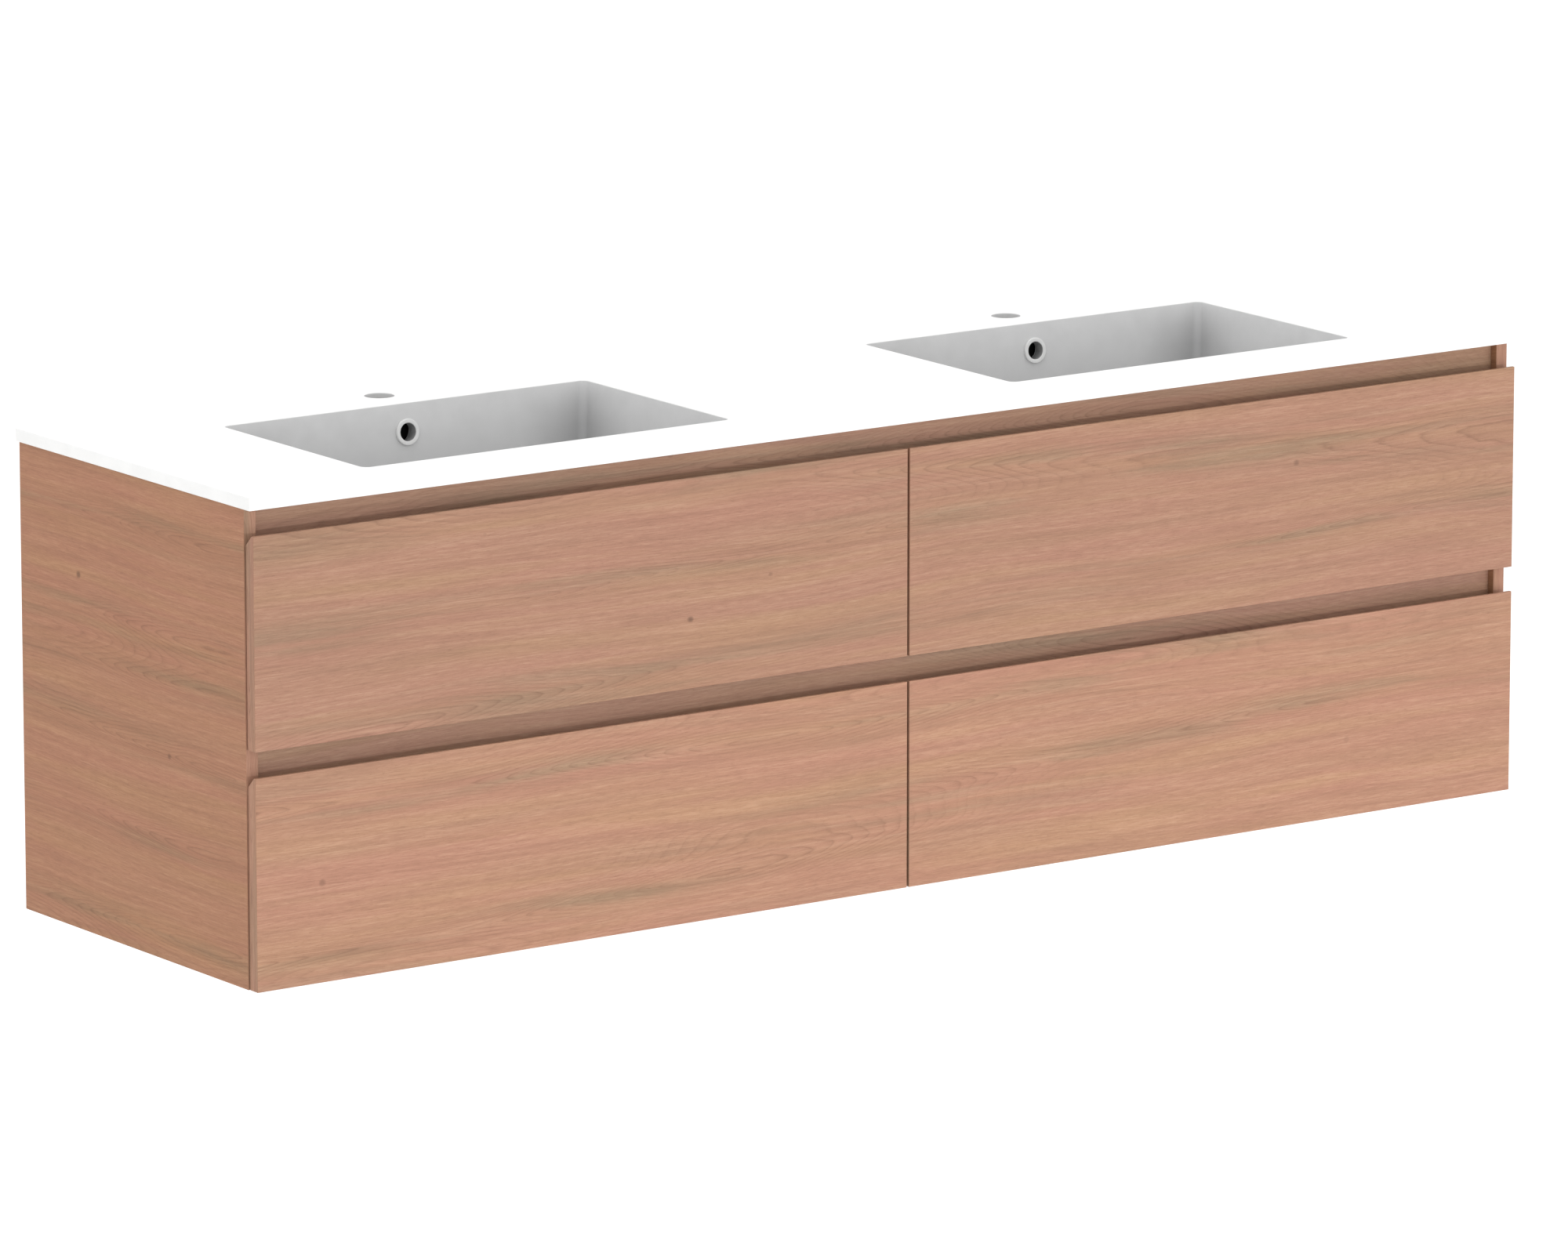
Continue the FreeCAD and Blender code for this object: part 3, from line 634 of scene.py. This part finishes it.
FRONT, BACK, LEFT, RIGHT, DOWN = (0, -1, 0), (0, 1, 0), (-1, 0, 0), (1, 0, 0), (0, 0, -1)
for side in SIDES:
    panel = board("side_board_" + side, "side_panel_" + side, "y", "z", (FRONT, BACK))
    finish_board(panel, "cabinet", ["side_panel_" + side])
partition = board("partition_board", "centre_partition", "y", "z", (FRONT, BACK))
finish_board(partition, "cabinet", ["centre_partition"])
for name, node in (
    ("bottom_board", "bottom_panel"),
    ("finger_rail_top", "top_front_rail"),
    ("finger_rail_middle", "middle_front_rail"),
):
    finish_board(board(name, node, "rail"), "cabinet", [node])

# %% [markdown]
# The back rails carry the cabinet, so each has four 9 mm holes for the wall screws. The holes are cut
# with round bars before the edges are eased, which leaves each mouth with the same small arris as a
# drilled and cleaned hole.

# %% Back rails
HOLE_R, HOLE_RISE = 4.5 * MM, 0.225
HOLES_X = sorted(sign * x for sign in SIDES.values() for x in (0.1, 0.8))
for name, node, hole_z in (
    ("back_rail_high", "upper_back_rail", HOLE_RISE),
    ("back_rail_low", "lower_back_rail", -HOLE_RISE),
):
    rail = board(name, node, "x")
    low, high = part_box(node)
    bits = [rod("bit", HOLE_R, (x, low.y - 0.01, hole_z), (x, high.y + 0.01, hole_z), 32) for x in HOLES_X]
    combine(rail, bits, "DIFFERENCE")
    finish_board(rail, "cabinet", [node], arris=0.5 * MM)

# %% [markdown]
# ## Drawer fronts
# With no handles, each front is pulled by its top edge: the back of that edge is cut away at 45 degrees
# so that fingers reach behind it, leaving a 4 mm land. The bevel operator makes that cut from one edge.
# A front's faces carry the decor lengthways, while the band on its ends runs upwards.

# %% Drawer fronts
LAND = 4 * MM
for row in ROWS:
    for side in SIDES:
        node = f"{row}_{side}_front"
        low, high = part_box(node)
        front = board(f"front_{row}_{side}", node, "x" if row == "upper" else "low", "z", (LEFT, RIGHT))
        pick(front, "EDGE", lambda edge: level_at(high.z)(edge) and middle(edge).y > high.y - 1e-5)
        bpy.ops.mesh.bevel(offset=high.y - low.y - LAND, segments=1, affect="EDGES", clamp_overlap=False)
        finish_board(front, f"drawer_{row}_{side}", [node])

# %% [markdown]
# ## Worktop and bowls
# On the real cabinet the bowls are bonded under the slab and ground flush, so from above it is one
# white surface. One mesh shows that best. It could be drawn as a grid with pulled-down bowls, but
# solids joined and cut by booleans give both the inside and the underside, and leave clean straight
# walls. The bowls' own corners are beveled on the cutting solid first, and the rim is beveled last so
# that it catches the light as one thin line.

# %% Bowl solids
TOP_LOW, TOP_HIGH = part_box("worktop")
SLAB_UNDER, SLAB_TOP = TOP_LOW.z, TOP_HIGH.z
OPENING = Vector((0.500, 0.300))
BOWL_Y = TOP_LOW.y + 0.075 + OPENING.y / 2
LEAN = math.tan(math.radians(6))
FOOT_Z, DRAIN_Z = SLAB_TOP - 0.120, SLAB_TOP - 0.125
WALL, UNDER_Z, DUCT_UNDER_Z = 12 * MM, SLAB_TOP - 0.137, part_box("bowl_left")[0].z
DUCT_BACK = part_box("bowl_left")[1].y
FLANGE, FLANGE_T, FLANGE_CORNER = 22 * MM, 8 * MM, 30 * MM
CAVITY_CORNER, CAVITY_FOOT = 9 * MM, 7 * MM
SHELL_CORNER, SHELL_FOOT = 24 * MM, 20 * MM
WASTE_R, SEAT_R, SEAT_Z = 24 * MM, 32 * MM, DRAIN_Z - 3 * MM
OVERFLOW_TILT = math.radians(6)


def leaning(name, x, grow, top, bottom, corner, foot):
    """A tapered box centred on a bowl: its walls lean as the bowl's do, its uprights and foot are rounded."""
    half = [OPENING.x / 2 + grow - (SLAB_TOP - top) * LEAN, OPENING.y / 2 + grow - (SLAB_TOP - top) * LEAN]
    piece = block(name, (x - half[0], BOWL_Y - half[1], bottom), (x + half[0], BOWL_Y + half[1], top))
    drop = (top - bottom) * LEAN
    pick(piece, "FACE", facing(*DOWN))
    shrink = [(h - drop) / h for h in half]
    bpy.ops.transform.resize(value=(*shrink, 1), center_override=(x, BOWL_Y, bottom))
    pick(piece, "EDGE", upright)
    bpy.ops.mesh.bevel(offset=corner, segments=8, affect="EDGES", clamp_overlap=False)
    if foot:
        pick(piece, "EDGE", level_at(bottom))
        bpy.ops.mesh.bevel(offset=foot, segments=6, affect="EDGES", clamp_overlap=False)
    return piece


def cavity(x):
    """The space inside a bowl: a leaning box whose floor falls a little to the waste."""
    piece = leaning("cavity", x, 0, SLAB_TOP + 2 * MM, FOOT_Z, CAVITY_CORNER, CAVITY_FOOT)
    pick(piece, "FACE", facing(*DOWN))
    bpy.ops.mesh.inset(thickness=1 * MM)
    share = [SEAT_R / (half - 30 * MM) for half in OPENING / 2]
    bpy.ops.transform.resize(value=(*share, 1), center_override=(x, BOWL_Y, FOOT_Z))
    bpy.ops.transform.translate(value=(0, 0, DRAIN_Z - FOOT_Z))
    return piece


def slab():
    """The worktop with its outer edges softened."""
    piece = block("vanity_top", TOP_LOW, TOP_HIGH)
    pick(piece, "EDGE", lambda edge: True)
    bpy.ops.mesh.bevel(offset=1.0 * MM, segments=3, affect="EDGES", clamp_overlap=False)
    return piece


print("bowl foot", round(FOOT_Z, 4), "drain", round(DRAIN_Z, 4), "duct back", round(DUCT_BACK, 4))

# %% Vanity top
OVERFLOW_DROP, OVERFLOW_R = 34 * MM, 12.5 * MM
OVERFLOW_Z = SLAB_TOP - OVERFLOW_DROP
OVERFLOW_Y = BOWL_Y + OPENING.y / 2 - OVERFLOW_DROP * LEAN
INTO_WALL = Vector((0, math.cos(OVERFLOW_TILT), -math.sin(OVERFLOW_TILT)))
TAP_Y, TAP_R = -0.070, 17.5 * MM
DUCT_HALF, DUCT_WALL, DUCT_DEEP = 22 * MM, 5 * MM, 14 * MM
BOSS_R = 38 * MM

top = slab()
for side, sign in SIDES.items():
    x = sign * BOWL_X
    into_slab, into_shell = SLAB_UNDER + 1 * MM, UNDER_Z + 3 * MM
    bowl_wall = BOWL_Y + OPENING.y / 2
    solids = [
        leaning("shell", x, WALL, into_slab, UNDER_Z, SHELL_CORNER, SHELL_FOOT),
        block("duct", (x - DUCT_HALF, bowl_wall, DUCT_UNDER_Z), (x + DUCT_HALF, DUCT_BACK, into_slab)),
        block("channel", (x - DUCT_HALF, BOWL_Y, DUCT_UNDER_Z), (x + DUCT_HALF, DUCT_BACK, into_shell)),
        rod("boss", BOSS_R, (x, BOWL_Y, DUCT_UNDER_Z), (x, BOWL_Y, into_shell), 64),
        leaning("flange", x, FLANGE, into_slab, SLAB_UNDER - FLANGE_T, FLANGE_CORNER, 0),
    ]
    combine(top, solids, "UNION")
for side, sign in SIDES.items():
    x = sign * BOWL_X
    inner = DUCT_HALF - DUCT_WALL
    ring_at = Vector((x, OVERFLOW_Y, OVERFLOW_Z))
    cuts = [
        cavity(x),
        block(
            "duct_space", (x - inner, DUCT_BACK - DUCT_DEEP, DUCT_UNDER_Z + DUCT_WALL),
            (x + inner, DUCT_BACK - DUCT_WALL, SLAB_UNDER - DUCT_WALL),
        ),
        block(
            "channel_space", (x - inner, BOWL_Y, DUCT_UNDER_Z + DUCT_WALL),
            (x + inner, DUCT_BACK - DUCT_WALL, UNDER_Z - DUCT_WALL),
        ),
        rod("overflow_hole", OVERFLOW_R, ring_at - INTO_WALL * WALL, ring_at + INTO_WALL * (WALL + 5 * MM)),
        rod("waste_hole", WASTE_R, (x, BOWL_Y, DUCT_UNDER_Z - MM), (x, BOWL_Y, DRAIN_Z + MM), 64),
        rod("waste_seat", SEAT_R, (x, BOWL_Y, SEAT_Z), (x, BOWL_Y, DRAIN_Z + 2 * MM), 64),
        rod("tap_hole", TAP_R, (x, TAP_Y, SLAB_UNDER - MM), (x, TAP_Y, SLAB_TOP + MM), 64),
    ]
    combine(top, cuts, "DIFFERENCE")
print("vanity top faces:", len(top.data.polygons))

# %% Vanity top edges
INSET, NEAR_BOWL, TOUCH = 0.02, 0.28, 0.1 * MM


def on_rim(edge):
    """Edges of the bowl openings and tap holes in the top face."""
    spot = middle(edge)
    inside = abs(spot.x) < TOP_HIGH.x - INSET and TOP_LOW.y + INSET < spot.y < TOP_HIGH.y - INSET
    return level_at(SLAB_TOP)(edge) and inside and edge.calc_face_angle(0) > 0.5


print("rim edges:", pick(top, "EDGE", on_rim))
bpy.ops.mesh.bevel(offset=1.2 * MM, segments=4, affect="EDGES", clamp_overlap=False)


def underside_edge(edge):
    """Sharp edges of the bosses and channels at their lowest level."""
    spot = middle(edge)
    under_bowl = abs(abs(spot.x) - BOWL_X) < NEAR_BOWL and spot.z < DUCT_UNDER_Z + 0.5 * MM
    below_slab = max(vert.co.z for vert in edge.verts) < SLAB_UNDER - 0.5 * MM
    return under_bowl and below_slab and edge.calc_face_angle(0) > 1.2


print("under edges:", pick(top, "EDGE", underside_edge))
bpy.ops.mesh.bevel(offset=0.8 * MM, segments=2, affect="EDGES", clamp_overlap=True)
top.data.materials.append(FINISHES["solid_surface"])
top.data.materials.append(duct_painted_shade)


def in_duct(face):
    """Faces of the overflow duct's inside."""
    spot = face.calc_center_median()
    aside = abs(abs(spot.x) - BOWL_X) < DUCT_HALF - DUCT_WALL + TOUCH
    behind = DUCT_BACK - DUCT_DEEP - TOUCH < spot.y < DUCT_BACK - DUCT_WALL + TOUCH
    between = DUCT_UNDER_Z + DUCT_WALL - TOUCH < spot.z < SLAB_UNDER - DUCT_WALL + TOUCH
    return aside and behind and between


def in_bowl(face):
    """Faces inside the bowls and tap holes, below their beveled rims."""
    spot = face.calc_center_median()
    across, deep = OPENING.x / 2 + 0.5 * MM, OPENING.y / 2 + 0.5 * MM
    aside = abs(abs(spot.x) - BOWL_X)
    inside = aside < across and abs(spot.y - BOWL_Y) < deep
    in_tap_hole = aside < TAP_R + TOUCH and abs(spot.y - TAP_Y) < TAP_R + TOUCH
    return (inside or in_tap_hole) and SEAT_Z - TOUCH < spot.z < SLAB_TOP - 0.9 * MM


# The bowls and tap holes get the greyer copy of the casting, with its painted shade.
top.data.materials.append(bowl_casting_painted_shade)
for slot_number, name, test in ((1, "duct", in_duct), (2, "bowl", in_bowl)):
    print(name, "faces:", pick(top, "FACE", test))
    top.active_material_index = slot_number
    bpy.ops.object.material_slot_assign()
deliver(shade(top, 40), "cabinet", "solid_surface", ["worktop", "bowl_left", "bowl_right"])

# %% [markdown]
# ## Turned metal
# Overflow rings, wastes and plugs are round, so each is a profile turned about an axis. Spin would do
# it, but extruding a circle and resizing each new ring is easier to follow and cannot come out inside
# out: every pair of numbers is a radius and a height. A hollow part is closed by bridging its last ring
# to its first.

# %% Turning
def turned(name, profile, steps=64, hollow=True):
    """A shape of revolution about the Z axis, in millimetres, from (radius, height) pairs."""
    clear()
    radius, height = profile[0]
    bpy.ops.mesh.primitive_circle_add(vertices=steps, radius=radius * MM, location=(0, 0, height * MM))
    piece = named(name)
    work_on(piece, "EDIT")
    bpy.ops.mesh.select_mode(type="EDGE")
    bpy.ops.mesh.select_all(action="SELECT")
    for wide, high in profile[1:]:
        bpy.ops.mesh.extrude_region_move(TRANSFORM_OT_translate={"value": (0, 0, (high - height) * MM)})
        scale = wide / radius
        bpy.ops.transform.resize(value=(scale, scale, 1), center_override=(0, 0, high * MM))
        radius, height = wide, high
    pick(piece, "EDGE", lambda edge: edge.is_boundary)
    if hollow:
        bpy.ops.mesh.bridge_edge_loops()
    else:
        bpy.ops.mesh.fill_holes(sides=0)
    bpy.ops.mesh.select_all(action="SELECT")
    bpy.ops.mesh.normals_make_consistent(inside=False)
    return piece


def stand(piece, place, tilt=0.0):
    """Move a turned piece from the origin to its place, leaning about X, and keep that in its mesh."""
    work_on(piece)
    piece.rotation_euler = (tilt, 0, 0)
    piece.location = place
    bpy.ops.object.transform_apply(location=True, rotation=True, scale=True)
    return piece


RING = [(10.7, 11.8), (11.6, 11.9), (11.9, 11.4), (11.9, 0.1), (15.2, 0.1), (15.45, -0.3), (15.45, -2.1),
        (15.2, -2.65), (14.6, -2.92), (11.6, -2.92), (11.0, -2.7), (10.7, -2.2), (10.7, 0.0)]


def in_bore(face):
    """Faces of a ring's bore, which stand along its axis and lie closest to it."""
    return face.normal.z ** 2 < 0.1 and face.calc_center_median().xy.length < 10.8 * MM


for side, sign in SIDES.items():
    ring = turned("overflow_trim_" + side, RING)
    ring.data.materials.append(FINISHES["white_plastic"])
    ring.data.materials.append(shaded_bore)
    # The bore faces get the grey of painted shade.
    pick(ring, "FACE", in_bore)
    ring.active_material_index = 1
    bpy.ops.object.material_slot_assign()
    stand(ring, (sign * BOWL_X, OVERFLOW_Y, OVERFLOW_Z), -math.pi / 2 - OVERFLOW_TILT)
    deliver(shade(ring, 50), "cabinet", "white_plastic", ["overflow_ring_" + side])

# %% [markdown]
# A waste is a flanged tube with a threaded tail, two pairs of windows that drain the overflow, and a
# bridge that guides the plug's stem. The thread is a row of turned ridges, which reads as a thread at
# any distance and stays a closed shape. The plug is a shallow dome with a rolled edge on that stem.

# %% Wastes and plugs
WASTE_LOW, WASTE_HIGH = (corner.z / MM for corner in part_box("waste_left"))
SHOULDER, PITCH = WASTE_LOW + 50.0, 1.81
thread = []
for turn in range(int(48.0 / PITCH)):
    foot = WASTE_LOW + 1.0 + turn * PITCH
    thread += [(20.1, foot), (20.9, foot + 0.55), (20.9, foot + 0.85), (20.1, foot + 1.4)]
WASTE = [(17.5, WASTE_LOW + 0.3), (17.8, WASTE_LOW), (19.8, WASTE_LOW), *thread, (20.1, SHOULDER),
         (22.0, SHOULDER), (22.4, SHOULDER + 0.4), (22.4, WASTE_HIGH - 3), (31.2, WASTE_HIGH - 3),
         (31.9, WASTE_HIGH - 2.2), (31.9, WASTE_HIGH - 1.1), (31.2, WASTE_HIGH - 0.3),
         (29.8, WASTE_HIGH - 0.05), (20.0, WASTE_HIGH - 0.25), (18.2, WASTE_HIGH - 0.9),
         (17.5, WASTE_HIGH - 2.2)]
PLUG_LOW, PLUG_HIGH = (corner.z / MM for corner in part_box("plug_left"))
CAP = PLUG_HIGH - 5.5
PLUG = [(4.4, PLUG_LOW), (5.0, PLUG_LOW + 0.6), (5.0, CAP - 1.2), (6.5, CAP - 0.1), (28.4, CAP),
        (29.6, CAP + 0.5), (29.95, CAP + 1.3), (29.6, CAP + 2.2), (28.3, CAP + 2.9), (25.0, CAP + 3.6),
        (20.0, CAP + 4.3), (14.0, CAP + 4.9), (8.0, CAP + 5.3), (3.0, CAP + 5.48)]
BRIDGE_Z = SHOULDER * MM + 1.2 * MM
SLOT_REACH, SLOT_HALF = 0.03, 7 * MM
for side, sign in SIDES.items():
    x = sign * BOWL_X
    waste = stand(turned("waste_fitting_" + side, WASTE), (x, BOWL_Y, 0))
    sill, head = DUCT_UNDER_Z + DUCT_WALL, UNDER_Z - DUCT_WALL
    slots = [
        block("slot", (x - wide, BOWL_Y - deep, sill), (x + wide, BOWL_Y + deep, head))
        for wide, deep in ((SLOT_REACH, SLOT_HALF), (SLOT_HALF, SLOT_REACH))
    ]
    combine(waste, slots, "DIFFERENCE")
    bar = block(
        "bar", (x - 18 * MM, BOWL_Y - 3.5 * MM, BRIDGE_Z),
        (x + 18 * MM, BOWL_Y + 3.5 * MM, BRIDGE_Z + 7 * MM),
    )
    hub = rod("hub", 9 * MM, (x, BOWL_Y, BRIDGE_Z - 0.5 * MM), (x, BOWL_Y, BRIDGE_Z + 7.5 * MM))
    combine(waste, [bar, hub], "UNION")
    guide = rod("guide", 5.05 * MM, (x, BOWL_Y, BRIDGE_Z - 0.01), (x, BOWL_Y, BRIDGE_Z + 0.02))
    combine(waste, [guide], "DIFFERENCE")
    deliver(shade(waste, 30), "cabinet", "chrome", ["waste_" + side])
    plug = stand(turned("plug_cap_" + side, PLUG, hollow=False), (x, BOWL_Y, 0))
    deliver(shade(plug, 30), "plug_" + side, "chrome", ["plug_" + side])

# %% [markdown]
# ## Parts that keep their CAD outline
# Runner channels, drawer boards with grooves and cut-outs, and lock nuts already have the right shape,
# but their CAD meshes are loose triangles with knife edges. A copy is merged, its flat triangles are
# joined into whole faces, and its edges are eased, so that every sheet edge and corner catches a little
# light.

# %% Dressed copies
def dressed(name, nodes, arris, angle=30, segments=2):
    """A merged copy of one or more CAD nodes with its edges eased."""
    clear()
    for node in nodes:
        copy = frame["nodes"][node].copy()
        copy.data = copy.data.copy()
        bpy.context.scene.collection.objects.link(copy)
        copy.parent = None
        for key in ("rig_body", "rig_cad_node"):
            if key in copy:
                del copy[key]
        copy.select_set(True)
        bpy.context.view_layer.objects.active = copy
    if len(nodes) > 1:
        bpy.ops.object.join()
    piece = bpy.context.object
    piece.name = piece.data.name = name
    piece.data.materials.clear()
    work_on(piece, "EDIT")
    bpy.ops.mesh.select_all(action="SELECT")
    bpy.ops.mesh.remove_doubles(threshold=0.01 * MM)
    bpy.ops.mesh.dissolve_limited(angle_limit=math.radians(0.5))
    if arris:
        ease(piece, arris, segments, angle)
    return piece


nuts = dressed("waste_lock_nuts", ["waste_nuts"], 0.6 * MM)
deliver(shade(nuts), "cabinet", "black_plastic", ["waste_nuts"])

for row in ROWS:
    for side in SIDES:
        drawer = f"{row}_{side}"
        boards = ["bottom", "back", "side_inner", "side_outer"]
        if row == "upper":
            boards.append("plumbing_surround")
        for part in boards:
            node = f"{drawer}_{part}"
            piece = dressed(f"box_{part}_{drawer}", [node], 0.5 * MM)
            deliver(shade(piece), "drawer_" + drawer, "drawer_board", [node])
        riders = {"cabinet": "cabinet", "middle": "runner_" + drawer, "drawer": "drawer_" + drawer}
        for part, body in riders.items():
            node = f"{drawer}_runner_{part}"
            piece = dressed(f"slide_{part}_{drawer}", [node], 0.25 * MM)
            deliver(shade(piece), body, "runner_steel", [node])
        piece = dressed("connectors_" + drawer, [drawer + "_fixings"], 0.2 * MM)
        deliver(shade(piece), "drawer_" + drawer, "screw_steel", [drawer + "_fixings"])
screws = dressed("slide_screws", ["runner_screws"], 0.2 * MM)
deliver(shade(screws), "cabinet", "screw_steel", ["runner_screws"])
